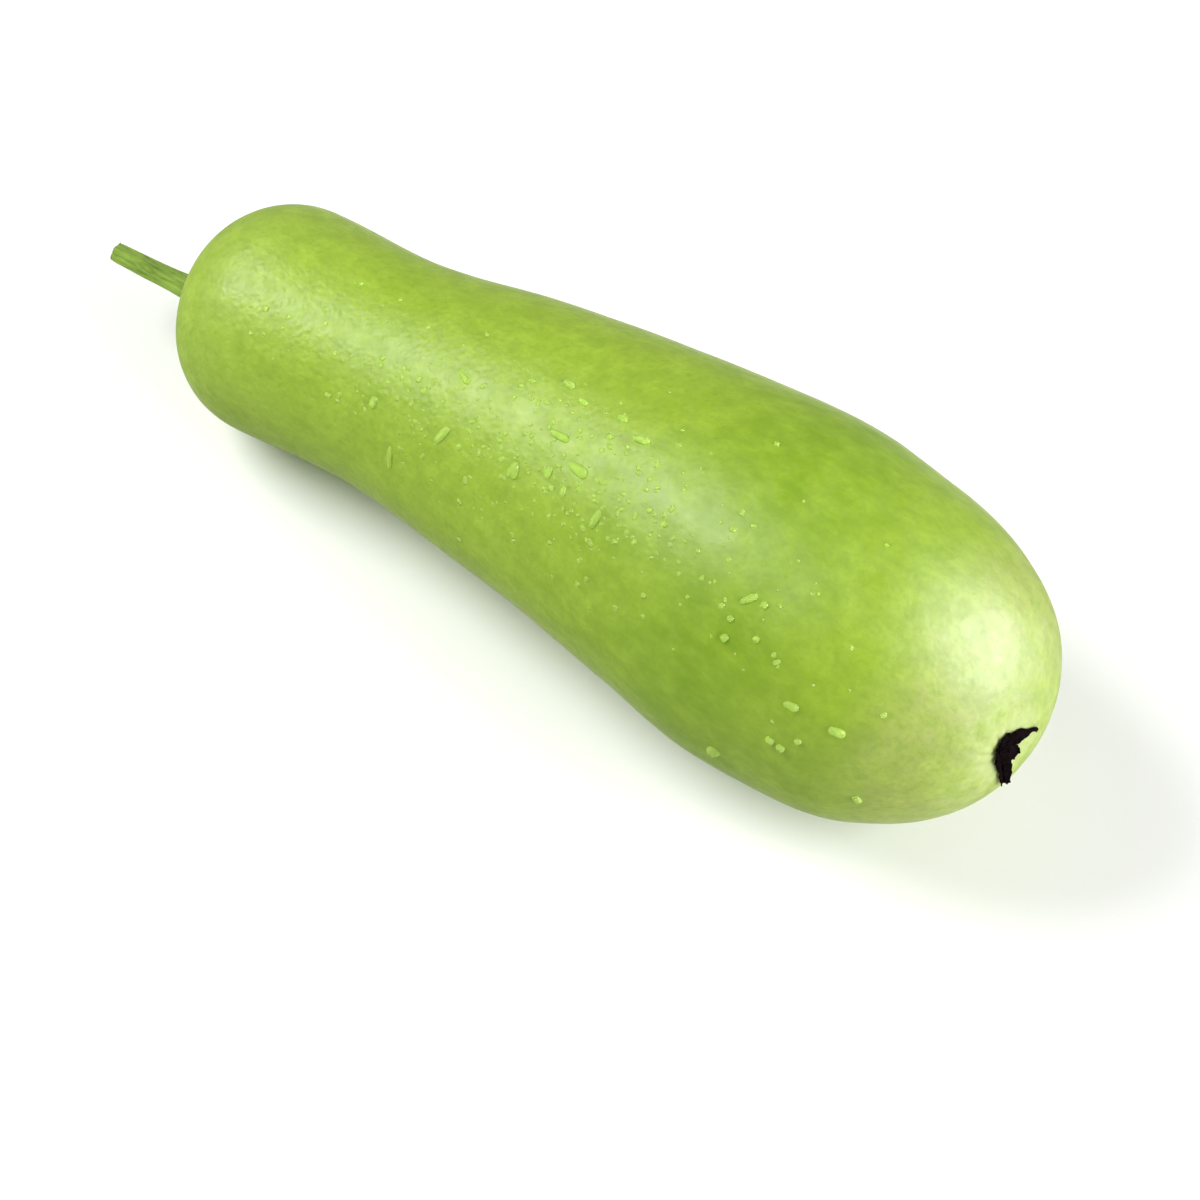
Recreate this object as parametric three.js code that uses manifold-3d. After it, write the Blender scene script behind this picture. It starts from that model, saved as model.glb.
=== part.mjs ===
// Bottle gourd (Lagenaria siceraria), picked young and lying on its side: the fruit, the cut stem
// it hung from, and the shrivelled rest of the flower at its other end.
//
// Lengths are millimetres. +X runs from the stem to the flower end, +Z is up, z = 0 is the surface
// the fruit lies on, and the origin is the middle of the ground that the whole part covers.
import * as THREE from "three";
import { mergeVertices } from "three/addons/utils/BufferGeometryUtils.js";
import Module from "manifold-3d";

const { degToRad, lerp } = THREE.MathUtils;
const wasm = await Module();
wasm.setup();

// The fruit. Its girth is the radius at each fraction of its length, before the ends round off:
// a narrow neck with a faint waist behind it, then a long swell to the belly.
const FRUIT_LENGTH = 320;
const GIRTH_AT = [0, 0.12, 0.24, 0.36, 0.48, 0.6, 0.72, 0.84, 1];
const GIRTH = [38.9, 38.9, 38.3, 43.2, 48.2, 53.4, 57.1, 54.6, 54.6];

// Each end rounds off over this length. Fullness 2 is an ellipse, and more is squarer.
const SHOULDER = { length: 35.6, fullness: 2.15 };
const CROWN = { length: 62.1, fullness: 2.04 };

// The fruit grew with a slight sideways bow: its middle line's offset at fractions of its length.
const BOW_AT = [0, 0.25, 0.5, 0.75, 0.9, 1];
const BOW = [-5.8, -0.8, 2.2, -2.1, -7.2, -14.1];

// The belly is fatter than the neck, so the middle line climbs by this angle where both touch the
// ground, and each has a spot pressed flat by this much.
const LIE = degToRad(5.4);
const GROUND_SPOT_DEPTH = 1;

// The stem: a stalk with rounded ridges along it, flared where it grips the shoulder, cut square.
const STEM = {
  length: 34.5,
  rootRadius: 3.6,
  tipRadius: 3.2,
  flare: 1.6,
  flareLength: 6,
  ridges: 5,
  ridgeHeight: 0.12,
  bend: -0.5,
  side: -1.5,
  drop: 5.5,
  yaw: degToRad(8.5),
  rise: degToRad(10),
};
const STEM_ROOT = 5;

// The dried flower: five petals shrivelled into flat lobes around a knob, lying on the skin. Its
// knob sits beside and above the fruit's middle line. Turns are counted from +Y towards +Z.
const BLOSSOM = { side: -2, up: 7, knobRadius: 4.5, knobHeight: 2.2 };
const PETAL_THICKNESS = 2.4;
const PETALS = [
  { turn: -12, length: 12.5, width: 4.5 },
  { turn: 48, length: 7.5, width: 7 },
  { turn: 115, length: 7, width: 7.5 },
  { turn: 198, length: 6.5, width: 5.5 },
  { turn: 268, length: 18.5, width: 5.5 },
];

// The neighbours of the fruit stop this far from its skin.
const GAP = 0.3;

// Colours and finishes: waxy skin, fibrous stalk, papery dead petals.
const SKIN = { color: 0x9fc24a, roughness: 0.42 };
const STALK = { color: 0x76963c, roughness: 0.7 };
const DEAD_PETAL = { color: 0x15100d, roughness: 0.9 };

// How finely the surfaces are divided, and the reach each way over which a heading is read.
const FRUIT_SIDES = 48;
const FRUIT_RINGS = 44;
const STEM_STEPS = 12;
const RIDGE_SIDES = 6;
const LOBE_SIDES = 12;
const LOBE_RINGS = 8;
const HEADING_REACH = 1;

const girth = new THREE.CubicInterpolant(scaled(GIRTH_AT, FRUIT_LENGTH), GIRTH, 1);
const bow = new THREE.CubicInterpolant(scaled(BOW_AT, FRUIT_LENGTH), BOW, 1);

function scaled(fractions, length) {
  return fractions.map((fraction) => fraction * length);
}

// Moves every vertex of a geometry with change(point, normal), which edits the point in place.
function reshape(geometry, change) {
  const position = geometry.getAttribute("position");
  const normal = geometry.getAttribute("normal");
  const point = new THREE.Vector3();
  const outward = new THREE.Vector3();
  for (let i = 0; i < position.count; i += 1) {
    point.fromBufferAttribute(position, i);
    outward.fromBufferAttribute(normal, i);
    change(point, outward);
    position.setXYZ(i, point.x, point.y, point.z);
  }
  return geometry;
}

// The same geometry with its shared corners joined, and with smooth normals.
function joined(geometry) {
  const bare = geometry.clone();
  bare.deleteAttribute("normal");
  bare.deleteAttribute("uv");
  const merged = mergeVertices(bare);
  merged.computeVertexNormals();
  return merged;
}

function solidOf(geometry) {
  const shell = joined(geometry);
  return new wasm.Manifold(
    new wasm.Mesh({
      numProp: 3,
      vertProperties: shell.getAttribute("position").array,
      triVerts: new Uint32Array(shell.index.array),
    }),
  );
}

function geometryOf(solid) {
  const { vertProperties, triVerts } = solid.getMesh();
  const geometry = new THREE.BufferGeometry();
  geometry.setAttribute("position", new THREE.BufferAttribute(vertProperties, 3));
  geometry.setIndex(new THREE.BufferAttribute(triVerts, 1));
  geometry.computeVertexNormals();
  return geometry;
}

function named(name, geometry, finish) {
  const mesh = new THREE.Mesh(geometry, new THREE.MeshStandardMaterial({ ...finish, metalness: 0 }));
  mesh.name = name;
  return mesh;
}

// Share of the full girth at a distance in from an end that rounds off.
function rounding(distance, end) {
  const inward = Math.min(distance / end.length, 1);
  return (1 - (1 - inward) ** end.fullness) ** (1 / end.fullness);
}

function fruitRadius(along) {
  const ends = rounding(along, SHOULDER) * rounding(FRUIT_LENGTH - along, CROWN);
  return girth.evaluate(along)[0] * ends;
}

// The middle line's heading about +Z, at a distance along the fruit.
function heading(along) {
  const before = Math.max(along - HEADING_REACH, 0);
  const after = Math.min(along + HEADING_REACH, FRUIT_LENGTH);
  return Math.atan2(bow.evaluate(after)[0] - bow.evaluate(before)[0], after - before);
}

// The ground that presses the skin flat, as the fruit meets it before it is laid down.
function groundUnder(skin) {
  const up = new THREE.Vector3(Math.sin(LIE), 0, Math.cos(LIE));
  const laid = skin.clone().rotateY(-LIE).getAttribute("position");
  const lowest = new THREE.Box3().setFromBufferAttribute(laid).min.z;
  return new THREE.Plane(up, -lowest - GROUND_SPOT_DEPTH);
}

// The skin turned about its middle line, bowed, and pressed flat where it lies on the ground.
// Rings crowd towards the ends, where the skin turns fastest.
function fruitSkin() {
  const profile = [];
  for (let ring = 0; ring <= FRUIT_RINGS; ring += 1) {
    const along = (FRUIT_LENGTH * (1 - Math.cos((Math.PI * ring) / FRUIT_RINGS))) / 2;
    const atPole = ring === 0 || ring === FRUIT_RINGS;
    profile.push(new THREE.Vector2(atPole ? 0 : fruitRadius(along), along));
  }
  const skin = joined(new THREE.LatheGeometry(profile, FRUIT_SIDES));
  reshape(skin, (point) => {
    const along = point.y;
    const across = point.z;
    const turn = heading(along);
    const middle = bow.evaluate(along)[0];
    point.set(along - across * Math.sin(turn), middle + across * Math.cos(turn), point.x);
  });
  const ground = groundUnder(skin);
  reshape(skin, (point) => {
    if (ground.distanceToPoint(point) < 0) ground.projectPoint(point.clone(), point);
  });
  return joined(skin);
}

// The fruit grown outwards all over by the gap, to cut its neighbours with.
function gapAround(skin) {
  return solidOf(reshape(skin.clone(), (point, outward) => point.addScaledVector(outward, GAP)));
}

// The stalk is made upright from its root inside the shoulder, then leaned out from the shoulder.
function stemStalk() {
  const outline = [];
  const sides = STEM.ridges * RIDGE_SIDES;
  for (let side = 0; side < sides; side += 1) {
    const angle = (2 * Math.PI * side) / sides;
    const radius = 1 + STEM.ridgeHeight * Math.cos(STEM.ridges * angle);
    outline.push(new THREE.Vector2(radius * Math.cos(angle), radius * Math.sin(angle)));
  }
  const stalk = new THREE.ExtrudeGeometry(new THREE.Shape(outline), {
    depth: STEM.length + STEM_ROOT,
    steps: STEM_STEPS,
    bevelEnabled: false,
  });
  stalk.translate(0, 0, -STEM_ROOT);
  reshape(stalk, (point) => {
    const along = Math.max(point.z, 0);
    const flare = STEM.flare * Math.exp(-along / STEM.flareLength);
    const radius = lerp(STEM.rootRadius, STEM.tipRadius, along / STEM.length) + flare;
    const bend = STEM.bend * Math.sin((Math.PI * along) / STEM.length);
    point.set(point.x * radius + bend, point.y * radius, point.z);
  });
  const level = Math.cos(STEM.rise);
  const lean = new THREE.Vector3(
    -level * Math.cos(STEM.yaw),
    -level * Math.sin(STEM.yaw),
    Math.sin(STEM.rise),
  );
  const turned = new THREE.Quaternion().setFromUnitVectors(new THREE.Vector3(0, 0, 1), lean);
  stalk.applyQuaternion(turned);
  return stalk.translate(0, BOW[0] + STEM.side, -STEM.drop);
}

// How far the flower end's skin has fallen back from its tip, at a distance off the middle line.
function crownFall(distance) {
  const share = distance / GIRTH.at(-1);
  return CROWN.length * (1 - (1 - share ** CROWN.fullness) ** (1 / CROWN.fullness));
}

// One flat round lobe, centred on the skin at side, up, and turned in the skin's plane.
function lobe(side, up, turn, length, width, thickness) {
  const shape = new THREE.SphereGeometry(1, LOBE_SIDES, LOBE_RINGS);
  shape.scale(thickness, length, width);
  shape.rotateX(turn);
  shape.translate(0, side, up);
  return reshape(shape, (point) => {
    point.x -= crownFall(Math.hypot(point.y, point.z));
  });
}

function driedFlower() {
  const { side, up, knobRadius, knobHeight } = BLOSSOM;
  let flower = solidOf(lobe(side, up, 0, knobRadius, knobRadius, knobHeight));
  for (const { turn, length, width } of PETALS) {
    const angle = degToRad(turn);
    const reach = length / 2;
    const petalSide = side + reach * Math.cos(angle);
    const petalUp = up + reach * Math.sin(angle);
    const petal = lobe(petalSide, petalUp, angle, reach, width / 2, PETAL_THICKNESS / 2);
    flower = flower.add(solidOf(petal));
  }
  const facing = new THREE.Matrix4().makeRotationZ(heading(FRUIT_LENGTH));
  facing.setPosition(FRUIT_LENGTH, BOW.at(-1), 0);
  return solidOf(geometryOf(flower).applyMatrix4(facing));
}

const skin = fruitSkin();
const gap = gapAround(skin);

const gourd = new THREE.Group();
gourd.add(named("gourd_fruit", skin, SKIN));
gourd.add(named("stem", geometryOf(solidOf(stemStalk()).subtract(gap)), STALK));
gourd.add(named("dried_blossom", geometryOf(driedFlower().subtract(gap)), DEAD_PETAL));

// Laid down: tipped so that neck and belly both touch, then stood on the ground over the origin.
gourd.rotation.y = -LIE;
const extent = new THREE.Box3().setFromObject(gourd, true);
const middle = extent.getCenter(new THREE.Vector3());
gourd.position.set(-middle.x, -middle.y, -extent.min.z);

export default gourd;
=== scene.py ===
"""A bottle gourd, picked young, lying on its side with water drops on its skin.

Lengths are millimetres, and a piece is scaled to metres when it is finished. The studio and the
camera are in metres. +X runs from the stem to the flower end, +Z is up, and the fruit lies on
z = 0.
"""

import bisect
import math
import random

import bmesh
import bpy
from mathutils import Matrix, Vector, noise
from mathutils.bvhtree import BVHTree


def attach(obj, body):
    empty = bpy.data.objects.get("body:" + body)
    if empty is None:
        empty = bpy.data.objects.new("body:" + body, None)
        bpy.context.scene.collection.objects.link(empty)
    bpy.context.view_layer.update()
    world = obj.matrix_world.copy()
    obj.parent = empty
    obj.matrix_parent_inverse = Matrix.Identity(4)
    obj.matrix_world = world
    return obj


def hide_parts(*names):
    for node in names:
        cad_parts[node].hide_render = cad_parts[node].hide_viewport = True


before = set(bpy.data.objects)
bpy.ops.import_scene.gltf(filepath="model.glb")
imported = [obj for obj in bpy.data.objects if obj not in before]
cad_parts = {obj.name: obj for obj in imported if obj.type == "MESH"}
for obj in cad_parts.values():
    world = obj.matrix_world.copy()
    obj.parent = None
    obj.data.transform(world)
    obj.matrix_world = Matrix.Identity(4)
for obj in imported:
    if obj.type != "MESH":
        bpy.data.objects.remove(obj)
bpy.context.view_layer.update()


# The fruit. It grew as one piece: a thin waxy green skin over firm pale flesh, so there is no seam
# or joint. A girth is turned about a bowed middle line, and the skin gets its own slight
# unevenness, the furrows round the stem and the pucker round the flower scar.

MM = 0.001

# The girth is the radius at fractions of the length, before the ends round off.
FRUIT_LENGTH = 320
GIRTH_AT = (0, 0.12, 0.24, 0.36, 0.48, 0.6, 0.72, 0.84, 1)
GIRTH = (38.9, 38.9, 38.3, 43.2, 48.2, 53.4, 57.1, 54.6, 54.6)

# Each end rounds off over a length, with a fullness: 2 is an ellipse, and more is squarer.
SHOULDER = (35.6, 2.15)
CROWN = (62.1, 2.04)

# The middle line's offset sideways at fractions of the length, and how the fruit is laid down.
BOW_AT = (0, 0.25, 0.5, 0.75, 0.9, 1)
BOW = (-5.8, -0.8, 2.2, -2.1, -7.2, -14.1)
LIE = math.radians(5.4)
MIDDLE_LINE_START = (-142.95, 1.47, 34.66)
LAID = Matrix.Translation(MIDDLE_LINE_START) @ Matrix.Rotation(-LIE, 4, "Y")
FRUIT_RINGS = 220
FRUIT_SIDES = 208

# Swells and hollows of the skin: how wide each kind is, and how high.
UNEVEN = ((60, 0.5), (24, 0.22), (9, 0.06))

# Where the stem grips the shoulder, and where the flower sat, as (across, up) from the middle line.
STEM_SEAT = (-1.5, -5.5)
FLOWER_SCAR = (-2, 7)

# The seat swells up a little, and furrows run out from it. They are deepest on a ring this far out
# and this wide, and they stray by an angle in radians that changes over a length.
SEAT_SWELLING = 1.7
SEAT_WIDTH = 7.5
FURROWS = 10
FURROW_DEPTH = 0.5
FURROW_RING = (12, 6)
FURROW_STRAY = (2.2, 14)

# The scar is sunk a little, and a pucker of fine folds runs out from it in the same way.
SCAR_DEPTH = 1.3
SCAR_WIDTH = 9
FOLDS = 13
FOLD_HEIGHT = 0.16
FOLD_RING = (10, 6)
FOLD_STRAY = (3, 9)

# Corners this close to each other are one corner.
SAME_PLACE = 1e-4


def through(stations, values, at):
    """The height, at one station, of a smooth curve through the given values."""
    chords = [
        (values[k + 1] - values[k]) / (stations[k + 1] - stations[k])
        for k in range(len(stations) - 1)
    ]
    slopes = [chords[0], *((a + b) / 2 for a, b in zip(chords, chords[1:])), chords[-1]]
    k = min(bisect.bisect_right(stations, at) - 1, len(chords) - 1)
    width = stations[k + 1] - stations[k]
    t = (at - stations[k]) / width
    start = (1 + 2 * t) * (1 - t) ** 2 * values[k] + t * (1 - t) ** 2 * width * slopes[k]
    end = t**2 * (3 - 2 * t) * values[k + 1] + t**2 * (t - 1) * width * slopes[k + 1]
    return start + end


def rounding(distance, length, fullness):
    """Share of the full girth at a distance in from an end that rounds off."""
    inward = min(distance / length, 1)
    return (1 - (1 - inward) ** fullness) ** (1 / fullness)


def girth(along):
    """The fruit's radius about its middle line."""
    ends = rounding(along, *SHOULDER) * rounding(FRUIT_LENGTH - along, *CROWN)
    return through(GIRTH_AT, GIRTH, along / FRUIT_LENGTH) * ends


def bow(along):
    """The middle line's offset sideways."""
    return through(BOW_AT, BOW, along / FRUIT_LENGTH)


def heading(along):
    """The middle line's heading about +Z."""
    before = max(along - 1, 0)
    after = min(along + 1, FRUIT_LENGTH)
    return math.atan2(bow(after) - bow(before), after - before)


def grown(along, across, up):
    """A place in the fruit, in the part's frame, from its place about the middle line."""
    turn = heading(along)
    bowed = Vector((along - across * math.sin(turn), bow(along) + across * math.cos(turn), up))
    return LAID @ bowed


def hump(away, width):
    """A smooth hump, 1 in its middle, that is nearly gone at twice its width."""
    return math.exp(-((away / width) ** 2))


def waves_about(spot, count, stray, place):
    """How far a place is from a spot, and the height there of waves that run out from the spot."""
    aside, above = place.y - spot[0], place.z - spot[1]
    angle, over = stray
    waves = math.cos(count * math.atan2(above, aside) + angle * noise.noise(place / over))
    return math.hypot(aside, above), waves


def relief(place):
    """How far the skin stands out from the smooth shape, at a place about the middle line."""
    height = sum(high * noise.noise(place / wide) for wide, high in UNEVEN)
    if place.x < SHOULDER[0]:
        away, waves = waves_about(STEM_SEAT, FURROWS, FURROW_STRAY, place)
        out, width = FURROW_RING
        height += SEAT_SWELLING * hump(away, SEAT_WIDTH)
        height -= FURROW_DEPTH * (0.5 + 0.5 * waves) * hump(away - out, width)
    if place.x > FRUIT_LENGTH - CROWN[0] / 2:
        away, waves = waves_about(FLOWER_SCAR, FOLDS, FOLD_STRAY, place)
        out, width = FOLD_RING
        height -= SCAR_DEPTH * hump(away, SCAR_WIDTH)
        height += FOLD_HEIGHT * waves * hump(away - out, width)
    return height


def finished(name, bm):
    """The object made of a mesh in millimetres, closed, facing outwards and smooth."""
    bmesh.ops.remove_doubles(bm, verts=bm.verts, dist=SAME_PLACE)
    bmesh.ops.recalc_face_normals(bm, faces=bm.faces)
    bmesh.ops.scale(bm, vec=(MM, MM, MM), verts=bm.verts)
    mesh = bpy.data.meshes.new(name)
    bm.to_mesh(mesh)
    bm.free()
    mesh.shade_smooth()
    made = bpy.data.objects.new(name, mesh)
    bpy.context.scene.collection.objects.link(made)
    return made


# The rings crowd towards the ends, where the skin turns fastest, and the ground presses the skin
# flat where it lies.
bm = bmesh.new()
profile = []
for ring in range(FRUIT_RINGS + 1):
    along = FRUIT_LENGTH * (1 - math.cos(math.pi * ring / FRUIT_RINGS)) / 2
    at_pole = ring in (0, FRUIT_RINGS)
    profile.append(bm.verts.new((along, 0, 0 if at_pole else girth(along))))
edges = [bm.edges.new(pair) for pair in zip(profile, profile[1:])]
bmesh.ops.spin(
    bm, geom=profile + edges, cent=(0, 0, 0), axis=(1, 0, 0), angle=2 * math.pi,
    steps=FRUIT_SIDES, use_merge=True,
)
bmesh.ops.remove_doubles(bm, verts=bm.verts, dist=SAME_PLACE)
bmesh.ops.recalc_face_normals(bm, faces=bm.faces)
bm.normal_update()
stands_out = {v: relief(v.co) for v in bm.verts}
for v in bm.verts:
    v.co += v.normal * stands_out[v]
for v in bm.verts:
    v.co = grown(*v.co)
    v.co.z = max(v.co.z, 0)
bm.normal_update()
skin = BVHTree.FromBMesh(bm)
fruit = finished("fruit", bm)


def plug(tree, socket, value):
    """Sets a node's input, or links it when the value is another node's output."""
    if isinstance(value, bpy.types.NodeSocket):
        tree.links.new(value, socket)
    else:
        socket.default_value = value


def add(tree, kind, inputs, **settings):
    """A new node with its settings and inputs."""
    made = tree.nodes.new("ShaderNode" + kind)
    for name, value in settings.items():
        setattr(made, name, value)
    for name, value in inputs.items():
        plug(tree, made.inputs[name], value)
    return made


def finish_named(name, **constants):
    """A new material with these values all over it, its nodes, its shader and its places."""
    material = bpy.data.materials.new(name)
    material.use_nodes = True
    tree = material.node_tree
    surface = tree.nodes["Principled BSDF"]
    for socket, value in constants.items():
        surface.inputs[socket.replace("_", " ")].default_value = value
    return material, tree, surface, add(tree, "TexCoord", {}).outputs["Object"]


def speckle(tree, place, across, detail=3.0, roughness=0.6, warp=0.0):
    """Cloudy noise with features this many millimetres across, from 0 to 1."""
    inputs = {
        "Vector": place, "Scale": 1 / (across * MM), "Detail": detail,
        "Roughness": roughness, "Distortion": warp,
    }
    return add(tree, "TexNoise", inputs).outputs["Fac"]


def spread(tree, value, low, high, start=0.0, end=1.0, **settings):
    """A value taken from the range low to high, to the range start to end."""
    inputs = {"Value": value, "From Min": low, "From Max": high, "To Min": start, "To Max": end}
    return add(tree, "MapRange", inputs, **settings).outputs["Result"]


def stretched(tree, place, share):
    """Places with their X scaled to a share of it, which draws a pattern out along X."""
    return add(tree, "Mapping", {"Vector": place, "Scale": (share, 1, 1)}).outputs["Vector"]


def away_from(tree, place, middle):
    """The distance of each place from one place."""
    return add(tree, "VectorMath", {0: place, 1: middle}, operation="DISTANCE").outputs["Value"]


def blend(tree, share, first, second):
    """A colour between two others."""
    made = tree.nodes.new("ShaderNodeMix")
    made.data_type = "RGBA"
    plug(tree, made.inputs[0], share)
    plug(tree, made.inputs[6], first)
    plug(tree, made.inputs[7], second)
    return made.outputs[2]


def colour(code):
    """A colour for a socket, from its usual six-digit code."""
    parts = [(code >> shift & 0xFF) / 255 for shift in (16, 8, 0)]
    linear = [p / 12.92 if p <= 0.04045 else ((p + 0.055) / 1.055) ** 2.4 for p in parts]
    return (*linear, 1.0)


def tinted(tree, ground, code, cover, bare, full, most):
    """A colour with another over it: none where the cover is at bare, and most where it is full."""
    return blend(tree, spread(tree, cover, bare, full, 0, most), ground, colour(code))


def graded(tree, share, stops):
    """A colour that changes gently from stop to stop, each a place from 0 to 1 and a colour."""
    made = add(tree, "ValToRGB", {"Fac": share})
    ramp = made.color_ramp
    ramp.interpolation = "EASE"
    while len(ramp.elements) < len(stops):
        ramp.elements.new(0.5)
    for element, (at, code) in zip(ramp.elements, stops):
        element.position = at
        element.color = colour(code)
    return made.outputs["Color"]


def pressed(tree, surface, pattern, strength, depth):
    """Adds a pattern's relief, this many millimetres deep, to what a finish already has."""
    bump = add(tree, "Bump", {"Height": pattern, "Strength": strength, "Distance": depth * MM})
    normal = surface.inputs["Normal"]
    if normal.is_linked:
        tree.links.new(normal.links[0].from_socket, bump.inputs["Normal"])
    tree.links.new(bump.outputs["Normal"], normal)


# The skin's greens from the stem end to the flower end, and the places along X where they start and
# end. The deepest green, on the belly, is partly painted shade: the dark band between the fruit's
# two highlights. The pale cream at the flower end is partly a painted highlight on the crown. Paler
# and darker greens mottle them, and a pale cream rings the flower scar: partly paler skin, partly a
# painted highlight on the crown's rim.
SKIN_GREENS_AND_PAINTED_LIGHT = (
    (0, 0x95AE43), (0.26, 0x8DAB2A), (0.5, 0x90AE27), (0.76, 0x779B02), (0.87, 0x89A722),
    (0.96, 0xA0AA5C), (1, 0xA6B26E),
)
GREENS_START = -150
GREENS_END = 170
PATCH_GREEN = 0xA0BE2A
FLECK_GREEN = 0xA6C43A
DARK_GREEN = 0x78961C
# Round the flower scar the skin is paler, and the same pale cream also paints in the highlight on
# the crown's rim.
SCAR_RING_AND_PAINTED_HIGHLIGHT = 0xC8D09A
SCAR_PLACE = grown(FRUIT_LENGTH - 1, *FLOWER_SCAR)

# The neck is finely pitted up to one place along X. From another the belly is nearly smooth, with
# a share of the pits' depth.
PITTED_TO = -30
SMOOTH_FROM = 80
SMOOTH_SHARE = 0.3

# Between the pits stand low domes, this far apart, whose feet end at a share of that. The grain
# lies on them. Both heights are shares of the pits' depth.
DOME_SPACING = 2.4
DOME_FOOT = 0.65
DOME_HEIGHT = 0.3
GRAIN_HEIGHT = 0.6

skin_finish, tree, surface, place = finish_named(
    "waxy_green_skin",
    Subsurface_Weight=0.1,
    Subsurface_Radius=(0.5, 0.8, 0.15),
    Subsurface_Scale=4 * MM,
    Specular_IOR_Level=0.65,
    Sheen_Weight=0.2,
    Sheen_Roughness=0.3,
    Sheen_Tint=(1, 1, 0.8, 1),
)
along_it = add(tree, "SeparateXYZ", {"Vector": place}).outputs["X"]
# Over the skin's own greens, this ramp carries painted shade on the belly and a painted highlight
# at the flower end.
green = graded(tree, spread(tree, along_it, GREENS_START * MM, GREENS_END * MM), SKIN_GREENS_AND_PAINTED_LIGHT)
patches = speckle(tree, place, 16, roughness=0.55, warp=0.5)
green = tinted(tree, green, PATCH_GREEN, patches, bare=0.4, full=0.66, most=0.28)
flecks = speckle(tree, stretched(tree, place, 0.6), 5)
green = tinted(tree, green, FLECK_GREEN, flecks, bare=0.36, full=0.7, most=0.4)
shade = speckle(tree, place, 6)
green = tinted(tree, green, DARK_GREEN, shade, bare=0.62, full=0.3, most=0.45)
grain = speckle(tree, place, 2.2)
green = tinted(tree, green, DARK_GREEN, grain, bare=0.56, full=0.3, most=0.4)
# A pale cream round the flower scar: partly paler skin, partly a painted highlight on the crown's
# rim.
from_scar = away_from(tree, place, SCAR_PLACE * MM)
green = tinted(tree, green, SCAR_RING_AND_PAINTED_HIGHLIGHT, from_scar, bare=15 * MM, full=8 * MM, most=0.35)
plug(tree, surface.inputs["Base Color"], green)
wax = speckle(tree, place, 8, detail=4, roughness=0.65)
plug(tree, surface.inputs["Roughness"], spread(tree, wax, 0.3, 0.7, start=0.38, end=0.56))
swells = speckle(tree, place, 7, detail=2, roughness=0.5)
pressed(tree, surface, swells, strength=0.8, depth=0.27)
cells = add(tree, "TexVoronoi", {"Vector": place, "Scale": 1 / (DOME_SPACING * MM)})
domes = spread(
    tree, cells.outputs["Distance"], 0, DOME_FOOT, start=DOME_HEIGHT, end=0,
    interpolation_type="SMOOTHSTEP",
)
pits = add(tree, "Math", {0: grain, 1: GRAIN_HEIGHT, 2: domes}, operation="MULTIPLY_ADD")
pitted = spread(tree, along_it, SMOOTH_FROM * MM, PITTED_TO * MM, start=SMOOTH_SHARE, end=1)
pressed(tree, surface, pits.outputs["Value"], strength=pitted, depth=0.36)

fruit.data.materials.append(skin_finish)
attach(fruit, "root")
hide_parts("gourd_fruit")


# The stem. A tough green stalk with five rounded ridges and fine fibres along it, a little hairy,
# flared where it grows out of the shoulder. It was cut square from the vine, so its far end shows
# a paler pith in a ring of darker rind.

STEM_LENGTH = 34.5
STEM_ROOT = 4
STEM_ROOT_RADIUS = 3.6
STEM_TIP_RADIUS = 3.2
STEM_BEND = -0.5
STEM_YAW = math.radians(8.5)
STEM_RISE = math.radians(10)
STEM_SIDES = 120
STEM_STEPS = 90

# Where it grips the shoulder the stem is wider by each of these, and loses that over a length.
STEM_FLARES = ((1.6, 6), (1.6, 2))

# Its cut edge is rounded off by a share of the radius, over a length.
STEM_TIP_ROUNDING = (0.14, 0.7)

# Round the stem run five ridges and finer ribs between them, each a share of the radius. Noise
# makes them rough, and adds the fibres: how much, how fine round the stem, and how long.
STEM_RIDGES = (5, 0.1)
STEM_RIBS = (15, 0.02)
STEM_ROUGH = (0.035, 2.5, 9)
STEM_FIBRES = (0.018, 9, 14)

# The steps from the rim of the cut in to its middle: how far in, and how far out along the stem.
# The pith is what faces outwards in the last bit of the stem's length.
STEM_CUT = ((0.12, 0.1), (0.45, -0.05), (0.4, -0.25), (0.9, -0.1), (0.8, -0.3))
PITH_DEPTH = 1.5
PITH_FACING = 0.7

# The stem is made upright on its foot, then leaned out from the shoulder.
lean = Vector((
    -math.cos(STEM_RISE) * math.cos(STEM_YAW),
    -math.cos(STEM_RISE) * math.sin(STEM_YAW),
    math.sin(STEM_RISE),
))
stem_foot = Vector((0, BOW[0] + STEM_SEAT[0], STEM_SEAT[1]))
leaned = Vector((0, 0, 1)).rotation_difference(lean).to_matrix().to_4x4()
STEM_PLACE = LAID @ Matrix.Translation(stem_foot) @ leaned


def stem_radius(along, angle):
    """The stem's radius at a place along it and round it."""
    out = max(along, 0)
    body = STEM_ROOT_RADIUS + (STEM_TIP_RADIUS - STEM_ROOT_RADIUS) * out / STEM_LENGTH
    rounded, over = STEM_TIP_ROUNDING
    body *= 1 - rounded * math.exp((out - STEM_LENGTH) / over)
    flare = sum(wider * math.exp(-out / length) for wider, length in STEM_FLARES)
    ridges, high = STEM_RIDGES
    ribs, low = STEM_RIBS
    shape = 1 + high * math.cos(ridges * angle) + low * math.cos(ribs * angle + 1)
    round_it = Vector((math.cos(angle), math.sin(angle), 0))
    for much, fine, long in (STEM_ROUGH, STEM_FIBRES):
        shape += much * noise.noise(round_it * fine + Vector((0, 0, along / long)))
    return (body + flare) * shape


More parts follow.
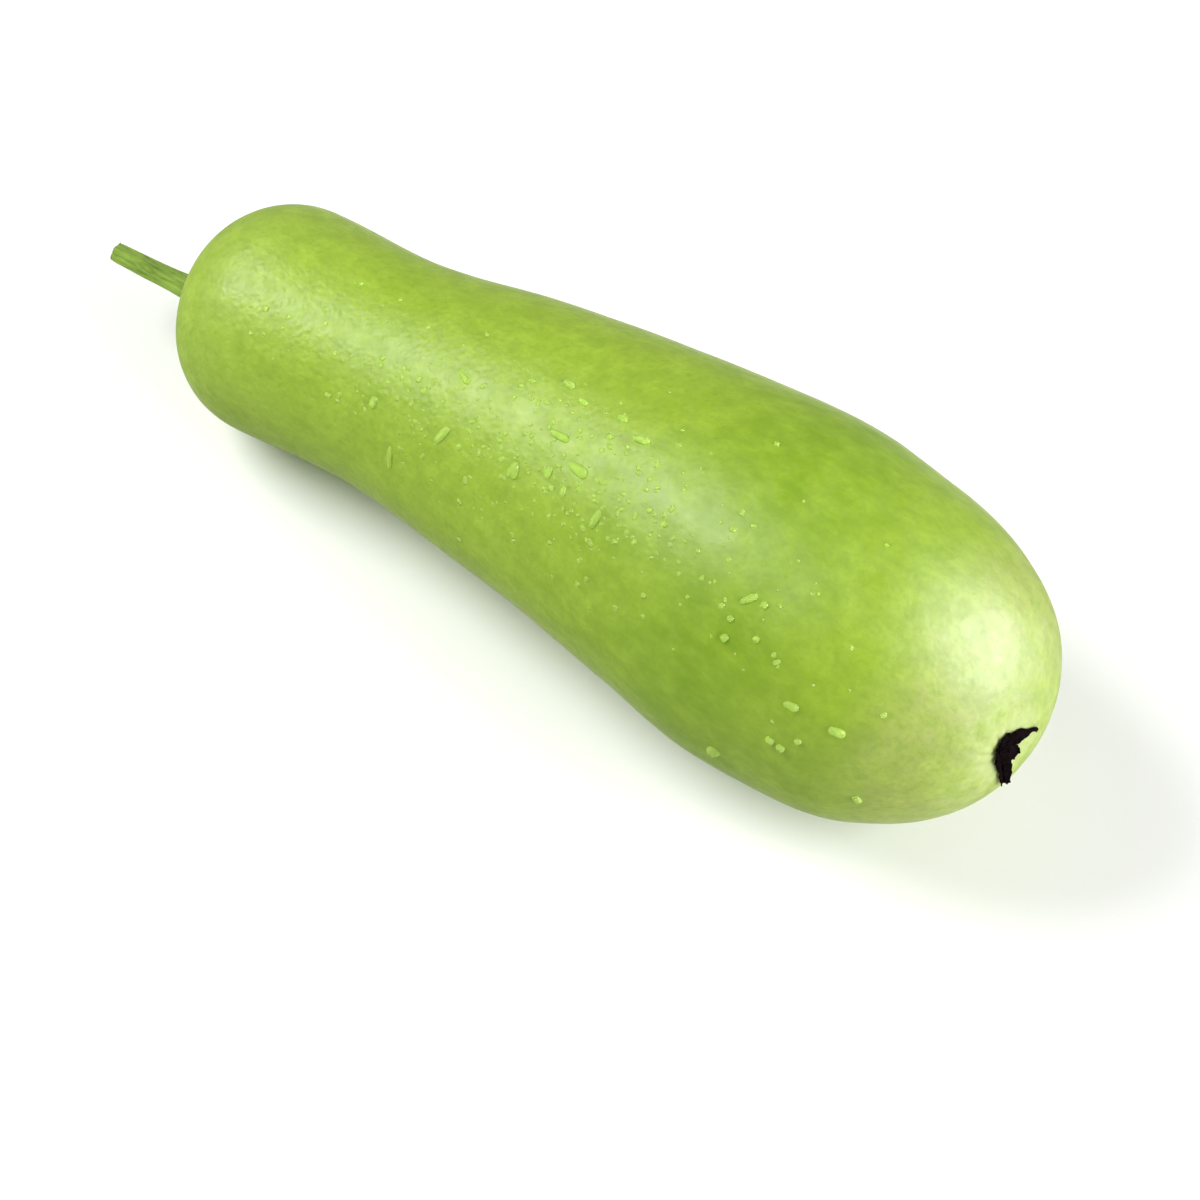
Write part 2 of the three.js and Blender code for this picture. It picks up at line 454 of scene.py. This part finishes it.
bm = bmesh.new()
rim = bmesh.ops.create_circle(bm, segments=STEM_SIDES, radius=1, cap_ends=False)["verts"]
bmesh.ops.translate(bm, vec=(0, 0, -STEM_ROOT), verts=rim)
edges = bm.edges[:]
step = (STEM_LENGTH + STEM_ROOT) / STEM_STEPS
for _ in range(STEM_STEPS):
    made = bmesh.ops.extrude_edge_only(bm, edges=edges)["geom"]
    edges = [g for g in made if isinstance(g, bmesh.types.BMEdge)]
    rim = [g for g in made if isinstance(g, bmesh.types.BMVert)]
    bmesh.ops.translate(bm, vec=(0, 0, step), verts=rim)
for v in bm.verts:
    along = v.co.z
    angle = math.atan2(v.co.y, v.co.x)
    radius = stem_radius(along, angle)
    bend = STEM_BEND * math.sin(math.pi * max(along, 0) / STEM_LENGTH)
    v.co = (radius * math.cos(angle) + bend, radius * math.sin(angle), along)
bmesh.ops.holes_fill(bm, edges=bm.edges, sides=0)
cut = max(bm.faces, key=lambda face: face.calc_center_median().z)
for inset, sunk in STEM_CUT:
    bmesh.ops.inset_individual(bm, faces=[cut], thickness=inset, depth=0)
    bmesh.ops.translate(bm, vec=(0, 0, sunk), verts=cut.verts)
bm.normal_update()
for face in bm.faces:
    at_end = face.calc_center_median().z > STEM_LENGTH - PITH_DEPTH
    if at_end and face.normal.z > PITH_FACING:
        face.material_index = 1
for v in bm.verts:
    v.co = STEM_PLACE @ v.co
stem = finished("cut_stem", bm)

FIBRE_DARK = 0x5E7B26
FIBRE_LIGHT = 0x8AA63E
STALK_PATCH = 0x98B84A

# The pith is pale out to one distance from its middle, and has the rim's colour from another.
PITH_PALE = 0xC6D08E
PITH_RIM = 0x7F9A45
PITH_PORE = 0x6E7F38
PITH_PALE_TO = 1.2
PITH_RIM_FROM = 3

stalk_finish, tree, surface, place = finish_named(
    "ridged_green_stalk",
    Specular_IOR_Level=0.35,
    Sheen_Weight=0.15,
    Sheen_Roughness=0.4,
    Subsurface_Weight=0.05,
    Subsurface_Radius=(0.5, 0.8, 0.15),
    Subsurface_Scale=2 * MM,
)
streaks = spread(tree, speckle(tree, stretched(tree, place, 0.12), 0.9), 0.35, 0.65)
green = blend(tree, streaks, colour(FIBRE_DARK), colour(FIBRE_LIGHT))
patches = speckle(tree, place, 7)
green = tinted(tree, green, STALK_PATCH, patches, bare=0.4, full=0.65, most=0.5)
plug(tree, surface.inputs["Base Color"], green)
plug(tree, surface.inputs["Roughness"], spread(tree, streaks, 0, 1, start=0.75, end=0.55))
pressed(tree, surface, streaks, strength=0.7, depth=0.15)

cut_finish, tree, surface, place = finish_named(
    "pale_cut_pith", Roughness=0.8, Specular_IOR_Level=0.3,
)
from_middle = away_from(tree, place, (STEM_PLACE @ Vector((0, 0, STEM_LENGTH))) * MM)
rings = spread(tree, from_middle, PITH_PALE_TO * MM, PITH_RIM_FROM * MM)
pores = spread(tree, speckle(tree, place, 0.5), 0.4, 0.6)
pith = blend(tree, rings, colour(PITH_PALE), colour(PITH_RIM))
pith = tinted(tree, pith, PITH_PORE, pores, bare=1, full=0, most=0.4)
plug(tree, surface.inputs["Base Color"], pith)
pressed(tree, surface, pores, strength=0.8, depth=0.15)

stem.data.materials.append(stalk_finish)
stem.data.materials.append(cut_finish)
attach(stem, "root")
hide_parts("stem")


# The dried flower. The five petals and the style withered to thin black paper and stuck together
# in a crumpled tuft that the fruit still carries: some lobes lie flat, one curls to a hook and the
# longest hangs down and splits.

# From places about the end of the middle line, with +X out of the fruit, to the part's frame.
FLOWER_FACING = (
    LAID
    @ Matrix.Translation((FRUIT_LENGTH, BOW[-1], 0))
    @ Matrix.Rotation(heading(FRUIT_LENGTH), 4, "Z")
)
PETAL_THICKNESS = 0.3
PETAL_STATIONS = (0, 0.25, 0.5, 0.75, 1)
PETAL_STEPS = 30
PETAL_SIDES = 12

# The first petal lies this far off the skin, and each next one a little further. Their edges are
# ragged by a share of the width, with so many rags along them, and each petal reads the noise in a
# place of its own.
PETAL_OFF_SKIN = 0.45
PETAL_LAYER = 0.1
PETAL_RAGGED = 0.22
PETAL_RAGS = 6
PETAL_NOISE_STEP = 3.7

# Each lobe of the tuft: its root as (side, up) and its length, then at each station from root to
# tip the way it heads, in degrees from +Y towards +Z, and its width. Last, how far its tip and its
# edges stand proud.
PETALS = (
    ((-1.6, 9.0), 14.2, (0, -6, -25, -20, -86), (6.5, 6.4, 4.0, 1.6, 0.5), 0.4, 0.3),
    ((-0.6, 6.8), 6.8, (88, 90, 93, 96, 100), (5.5, 7.2, 7.4, 6.0, 2.2), 0.4, 0.5),
    ((-1.0, 5.8), 6.2, (128, 130, 134, 138, 142), (5.0, 6.6, 6.2, 4.4, 1.2), 0.3, 0.6),
    ((-1.5, 5.6), 5.0, (184, 186, 190, 196, 204), (5.5, 6.6, 5.8, 4.2, 1.4), 0.3, 0.5),
    ((-1.8, 5.2), 4.9, (326, 322, 316, 308, 298), (6.4, 7.0, 6.2, 4.6, 1.6), 0.5, 0.4),
    ((-3.7, 5.0), 14.0, (268, 268, 270, 273, 276), (4.2, 3.9, 3.2, 2.6, 1.5), 0.2, 0.3),
    ((-2.2, 4.6), 15.6, (270, 270, 270, 276, 296), (3.4, 3.0, 2.5, 2.0, 1.2), 0.5, 0.3),
)

# The knob they grow from, at (side, up, height), is a flat bun with faint lobes.
KNOB_PLACE = (-1.4, 6.0, 0.6)
KNOB_RADIUS = 3.6
KNOB_THICKNESS = 1.3
KNOB_LOBES = (5, 0.12)

# The creases of the dry tissue: how wide each kind is, and how high. They lie about their mean
# height, and the tissue is also pulled sideways, over a width and by a share of their height. Each
# piece reads the noise in a place of its own.
CREASES = ((2.4, 1), (1.1, 0.6))
CREASE_MEAN = 0.4
CREASE_PULL = (1.6, 0.4)
CREASE_NOISE_STEP = (17.3, 5.1)
PETAL_CRUMPLE = 0.7
KNOB_CRUMPLE = 0.6

# Rays that look for the skin start this far off it.
OFF_CROWN = 30


def on_crown(side, up, height):
    """A place this far off the skin round the flower scar."""
    start = FLOWER_FACING @ Vector((OFF_CROWN, side, up))
    inwards = FLOWER_FACING.to_3x3() @ Vector((-1, 0, 0))
    place, outwards, _, _ = skin.ray_cast(start, inwards)
    return place + outwards * height


def crumple(verts, number, amount):
    """Creases one piece of thin dry tissue."""
    offset = Vector((number * CREASE_NOISE_STEP[0], number * CREASE_NOISE_STEP[1], 0))
    wide, pull = CREASE_PULL
    for v in verts:
        place = v.co + offset
        folds = sum(high * abs(noise.noise(place / width)) for width, high in CREASES)
        v.co.z += amount * (folds - CREASE_MEAN)
        v.co.x += pull * amount * noise.noise(place / wide + Vector((9, 0, 0)))
        v.co.y += pull * amount * noise.noise(place / wide + Vector((0, 9, 0)))


bm = bmesh.new()
for number, (root, length, turns, widths, lift, cup) in enumerate(PETALS):
    made = bmesh.ops.create_grid(
        bm, x_segments=PETAL_STEPS, y_segments=PETAL_SIDES, size=0.5,
    )["verts"]
    middle = [Vector(root)]
    for step in range(PETAL_STEPS):
        aim = math.radians(through(PETAL_STATIONS, turns, (step + 0.5) / PETAL_STEPS))
        middle.append(middle[-1] + Vector((math.cos(aim), math.sin(aim))) * length / PETAL_STEPS)
    for v in made:
        share = v.co.x + 0.5
        beside = v.co.y * 2
        aim = math.radians(through(PETAL_STATIONS, turns, share))
        rag = Vector((share * PETAL_RAGS, beside, number * PETAL_NOISE_STEP))
        ragged = 1 + PETAL_RAGGED * noise.noise(rag)
        half = through(PETAL_STATIONS, widths, share) / 2 * ragged * beside
        sideways = Vector((-math.sin(aim), math.cos(aim)))
        side, up = middle[round(share * PETAL_STEPS)] + sideways * half
        off_skin = PETAL_OFF_SKIN + PETAL_LAYER * number
        v.co = (side, up, off_skin + lift * share**2 + cup * beside**2)
    crumple(made, number, PETAL_CRUMPLE)
bmesh.ops.solidify(bm, geom=bm.faces[:], thickness=PETAL_THICKNESS)
knob = bmesh.ops.create_uvsphere(bm, u_segments=36, v_segments=18, radius=1)["verts"]
lobes, high = KNOB_LOBES
for v in knob:
    radius = KNOB_RADIUS * (1 + high * math.cos(lobes * math.atan2(v.co.y, v.co.x)))
    bun = Vector((radius * v.co.x, radius * v.co.y, KNOB_THICKNESS * v.co.z))
    v.co = Vector(KNOB_PLACE) + bun
crumple(knob, len(PETALS), KNOB_CRUMPLE)
for v in bm.verts:
    v.co = on_crown(*v.co)
flower = finished("dried_flower", bm)

PETAL_BLACK = 0x040202
PETAL_BROWN = 0x180910
PETAL_VEIN = 0x1A110C

petal_finish, tree, surface, place = finish_named("withered_petal", Specular_IOR_Level=0.03)
stains = spread(tree, speckle(tree, place, 4, detail=4), 0.4, 0.7)
veins = spread(tree, speckle(tree, place, 0.7, roughness=0.7, warp=1.0), 0.35, 0.65)
brown = blend(tree, stains, colour(PETAL_BLACK), colour(PETAL_BROWN))
brown = tinted(tree, brown, PETAL_VEIN, veins, bare=0, full=1, most=0.25)
plug(tree, surface.inputs["Base Color"], brown)
plug(tree, surface.inputs["Roughness"], spread(tree, veins, 0, 1, start=0.95, end=0.7))
pressed(tree, surface, veins, strength=0.8, depth=0.2)

flower.data.materials.append(petal_finish)
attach(flower, "root")
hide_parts("dried_blossom")


# Water drops. Rinsed fruit is left with beads of water on its wax: a few large ones drawn out
# where they began to run, and a fine dew between them.

# Each large drop: how far along the fruit, how far round it in degrees from the top towards -Y,
# its length and width, and its slant in degrees from the fruit's length.
DROPS = (
    (45, 28, 2.5, 1.5, -80),
    (93, 45, 4, 2.5, 85),
    (104, 65, 8, 2, 85),
    (119, 18, 6.5, 2, 25),
    (121, 43, 7, 2.5, -65),
    (151, 41, 5.5, 3.5, 90),
    (152, 3, 4.5, 2.5, 10),
    (160, 7, 4, 2, 10),
    (160, 22, 8, 2.5, 0),
    (163, 35, 4, 2.5, 90),
    (171, 38, 3.5, 2, 75),
    (172, 29, 7.5, 3.5, 5),
    (175, 6, 4, 2, 10),
    (185, 10, 6, 2.5, -10),
    (186, 40, 6.5, 2.5, -85),
    (201, 28, 2, 2, 25),
    (208, 29, 2.5, 2, 20),
    (220, -12, 2, 1.5, 20),
    (242, 42, 2, 2, 25),
    (243, 48, 2.5, 2.5, 30),
    (244, 34, 6, 2, -50),
    (248, 93, 4, 4.5, 45),
    (249, 33, 2.5, 2, 5),
    (252, 43, 2, 2, 15),
    (268, 72, 3, 2.5, 20),
    (271, 56, 5, 2.5, -5),
    (272, 73, 3, 2.5, 15),
    (277, 67, 2, 2.5, 40),
    (287, 57, 5.5, 3, 0),
    (298, 90, 4, 2.5, 65),
)

# A drop rises by a share of its width, and its underside is this far under the skin. Its outline
# is uneven by a share, read from a place in the noise of its own, and it is wider at one end by a
# share.
DROP_RISE = 0.5
DROP_SINK = 0.25
DROP_UNEVEN = 0.12
DROP_NOISE_STEP = 7.7
DROP_TAPER = 0.12

# Rays that look for the skin under a drop start this far off it.
OFF_SKIN = 5

# The dew lies thickest at one place along the fruit and round it, and thins out over a spread.
# None lies before the first or after the last of these places along it.
DEW_SEED = 11
DEW_COUNT = 380
DEW_RISE = 0.17
DEW_ALONG = (165, 48)
DEW_TURN = (32, 15)
DEW_FROM = 20
DEW_TO = 300

# A bead of dew is as wide as the smallest, or wider by up to this much, and stretched one way.
DEW_SMALLEST = 0.8
DEW_WIDER = 1.1
DEW_STRETCH = (1, 1.7)


def skin_at(along, turn):
    """The place and the outward direction of the skin, along the fruit and round it."""
    middle = grown(along, 0, 0)
    outside = grown(along, -2 * girth(along) * math.sin(turn), 2 * girth(along) * math.cos(turn))
    place, outwards, _, _ = skin.ray_cast(outside, (middle - outside).normalized())
    return place, outwards


def round_bead(segments, rings):
    """A unit ball to shape drops from."""
    bm = bmesh.new()
    bmesh.ops.create_uvsphere(bm, u_segments=segments, v_segments=rings, radius=1)
    ball = bpy.data.meshes.new("bead")
    bm.to_mesh(ball)
    bm.free()
    return ball


def beaded(bm, ball, along, turn, length, width, slant, rise, number):
    """One drop: a low dome, wider at one end, that follows the skin under it."""
    place, outwards = skin_at(along, turn)
    lengthwise = (skin_at(along + 1, turn)[0] - place).normalized()
    sideways = lengthwise.cross(outwards).normalized()
    lengthwise = outwards.cross(sideways)
    long_way = math.cos(slant) * lengthwise + math.sin(slant) * sideways
    short_way = outwards.cross(long_way)
    already = len(bm.verts)
    bm.from_mesh(ball)
    for v in bm.verts[already:]:
        ripple = noise.noise(Vector((v.co.x, v.co.y, number * DROP_NOISE_STEP)))
        wobble = 1 + DROP_UNEVEN * ripple
        blunt = (1 + DROP_TAPER * v.co.x) * math.sqrt(1 + v.co.x**2)
        reach = v.co.x * length / 2 * wobble
        beside = v.co.y * width / 2 * wobble * blunt
        high = rise * min(length, width) * v.co.z if v.co.z > 0 else DROP_SINK * v.co.z
        over = place + long_way * reach + short_way * beside + outwards * OFF_SKIN
        under, facing, _, _ = skin.ray_cast(over, -outwards)
        v.co = under + facing * high


bm = bmesh.new()
large_bead = round_bead(28, 16)
for number, (along, turn, length, width, slant) in enumerate(DROPS):
    turn, slant = math.radians(turn), math.radians(slant)
    beaded(bm, large_bead, along, turn, length, width, slant, DROP_RISE, number)
drops = finished("water_drops", bm)

random.seed(DEW_SEED)
bm = bmesh.new()
small_bead = round_bead(8, 5)
for number in range(DEW_COUNT):
    along = random.gauss(*DEW_ALONG)
    turn = math.radians(random.gauss(*DEW_TURN))
    size = DEW_SMALLEST + DEW_WIDER * random.random() ** 2
    slant = random.uniform(0, math.pi)
    stretch = random.uniform(*DEW_STRETCH)
    if DEW_FROM < along < DEW_TO:
        beaded(bm, small_bead, along, turn, size * stretch, size, slant, DEW_RISE, number)
dew = finished("dew", bm)

# The drops are partly clear. The rest of them is a pale green: a painted glow for the lit skin
# under them and the light each drop gathers onto it.
DROP_PAINTED_GLOW = 0xD7F77C
DROP_PAINTED_GLOW_PALE = 0xE2FC89

water, tree, surface, place = finish_named(
    "water", Transmission_Weight=0.6, IOR=1.333, Specular_IOR_Level=0.7,
)
ripple = spread(tree, speckle(tree, place, 2.5, detail=2, roughness=0.5), 0.35, 0.65)
# Painted glow: the drops' pale green, between two greens with a faint ripple, stands in for light
# they gather.
green = blend(tree, ripple, colour(DROP_PAINTED_GLOW), colour(DROP_PAINTED_GLOW_PALE))
plug(tree, surface.inputs["Base Color"], green)
plug(tree, surface.inputs["Roughness"], spread(tree, ripple, 0, 1, start=0.04, end=0.08))
pressed(tree, surface, ripple, strength=0.5, depth=0.05)
for wet in (drops, dew):
    wet.data.materials.append(water)
    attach(wet, "root")


# The studio. A plain white table runs past every edge of the view. A round soft light hangs over it
# to the left, with a second in the same place for the long streak of gloss down the fruit. Three
# stand at the flower end: they fill its shade and give the crown its sheen. The last lifts the
# side that faces the table.

# The table lies a hair under the fruit, so that the two never share a plane.
TABLE_SIZE = 8
TABLE_DROP = 0.0001
TABLE_WHITE = 0xF3F3F3

# In the fruit's gloss the table is darker, so that the underside keeps its green.
TABLE_IN_GLOSS = 0x404040

# The table fades into the white of the room between these distances from the fruit, and it is
# clear from below.
TABLE_CLEAR = 0.4
TABLE_END = 1.2

bm = bmesh.new()
bmesh.ops.create_grid(bm, x_segments=1, y_segments=1, size=TABLE_SIZE / 2)
bmesh.ops.translate(bm, vec=(0, 0, -TABLE_DROP), verts=bm.verts)
table_mesh = bpy.data.meshes.new("table")
bm.to_mesh(table_mesh)
bm.free()
table = bpy.data.objects.new("table", table_mesh)
bpy.context.scene.collection.objects.link(table)
table_finish, tree, surface, place = finish_named(
    "white_table", Roughness=0.7, Specular_IOR_Level=0.2,
)
rays = add(tree, "LightPath", {})
gloss = rays.outputs["Is Glossy Ray"]
white = blend(tree, gloss, colour(TABLE_WHITE), colour(TABLE_IN_GLOSS))
plug(tree, surface.inputs["Base Color"], white)
from_fruit = away_from(tree, place, (0, 0, 0))
far = spread(tree, from_fruit, TABLE_CLEAR, TABLE_END, interpolation_type="SMOOTHSTEP")
seen_far = add(tree, "Math", {0: far, 1: rays.outputs["Is Camera Ray"]}, operation="MULTIPLY")
from_below = add(tree, "NewGeometry", {}).outputs["Backfacing"]
gone = add(tree, "Math", {0: seen_far.outputs["Value"], 1: from_below}, operation="MAXIMUM")
clear = add(tree, "BsdfTransparent", {}).outputs["BSDF"]
seen = add(
    tree, "MixShader", {0: gone.outputs["Value"], 1: surface.outputs["BSDF"], 2: clear},
)
plug(tree, tree.nodes["Material Output"].inputs["Surface"], seen.outputs["Shader"])
table.data.materials.append(table_finish)

FRUIT_MIDDLE = Vector((0, 0, 0.06))
LIGHT_DISTANCE = 1.5
YELLOW_GREEN = (0.85, 1, 0.5)


def aimed(name, data, target, azimuth, elevation, distance):
    """A light or camera that looks at a place, from this direction in degrees and this far off."""
    around, above = math.radians(azimuth), math.radians(elevation)
    back = Vector((
        math.sin(around) * math.cos(above), -math.cos(around) * math.cos(above), math.sin(above),
    ))
    made = bpy.data.objects.new(name, data)
    made.location = target + back * distance
    made.rotation_mode = "QUATERNION"
    made.rotation_quaternion = back.to_track_quat("Z", "Y")
    bpy.context.scene.collection.objects.link(made)
    return made


def softbox(name, azimuth, elevation, size, power, tint=(1, 1, 1), gloss=True, fill=True):
    """A round soft light that faces the fruit. It may leave out the gloss, or give only gloss."""
    light = bpy.data.lights.new(name, "AREA")
    light.shape = "DISK"
    light.size = size
    light.energy = power
    light.color = tint
    lamp = aimed(name, light, FRUIT_MIDDLE, azimuth, elevation, LIGHT_DISTANCE)
    lamp.visible_glossy = gloss
    lamp.visible_diffuse = fill


softbox("left_softbox", azimuth=-72, elevation=48, size=0.9, power=23, gloss=False)
softbox("streak_sheen", azimuth=-72, elevation=48, size=0.85, power=19, fill=False)
softbox("right_softbox", azimuth=106, elevation=21, size=1.5, power=16)
softbox("end_fill", azimuth=95, elevation=25, size=1.6, power=19, gloss=False)
softbox("crown_sheen", azimuth=117, elevation=30, size=1.6, power=47, fill=False)
softbox("low_fill", azimuth=-45, elevation=8, size=1.6, power=5, tint=YELLOW_GREEN, gloss=False)

# The room looks white, but lights the fruit only a little.
ROOM_SEEN = 1
ROOM_LIGHT = 0.23

world = bpy.data.worlds.new("studio")
world.use_nodes = True
tree = world.node_tree
background = tree.nodes["Background"]
background.inputs["Color"].default_value = (1, 1, 1, 1)
seen_straight = add(tree, "LightPath", {}).outputs["Is Camera Ray"]
strength = spread(tree, seen_straight, 0, 1, ROOM_LIGHT, ROOM_SEEN)
plug(tree, background.inputs["Strength"], strength)
bpy.context.scene.world = world
bpy.context.scene.view_settings.view_transform = "Standard"


# The camera looks down from the front right, so that the stem is at the upper left.

CAMERA_AZIMUTH = 35.98
CAMERA_ELEVATION = 60
CAMERA_DISTANCE = 1.0541
CAMERA_TARGET = Vector((0.0325, -0.0223, 0.0276))

lens = bpy.data.cameras.new("camera")
lens.lens = 100
lens.sensor_width = 36
lens.clip_end = 50
camera = aimed("camera", lens, CAMERA_TARGET, CAMERA_AZIMUTH, CAMERA_ELEVATION, CAMERA_DISTANCE)
bpy.context.scene.camera = camera

bpy.context.view_layer.update()
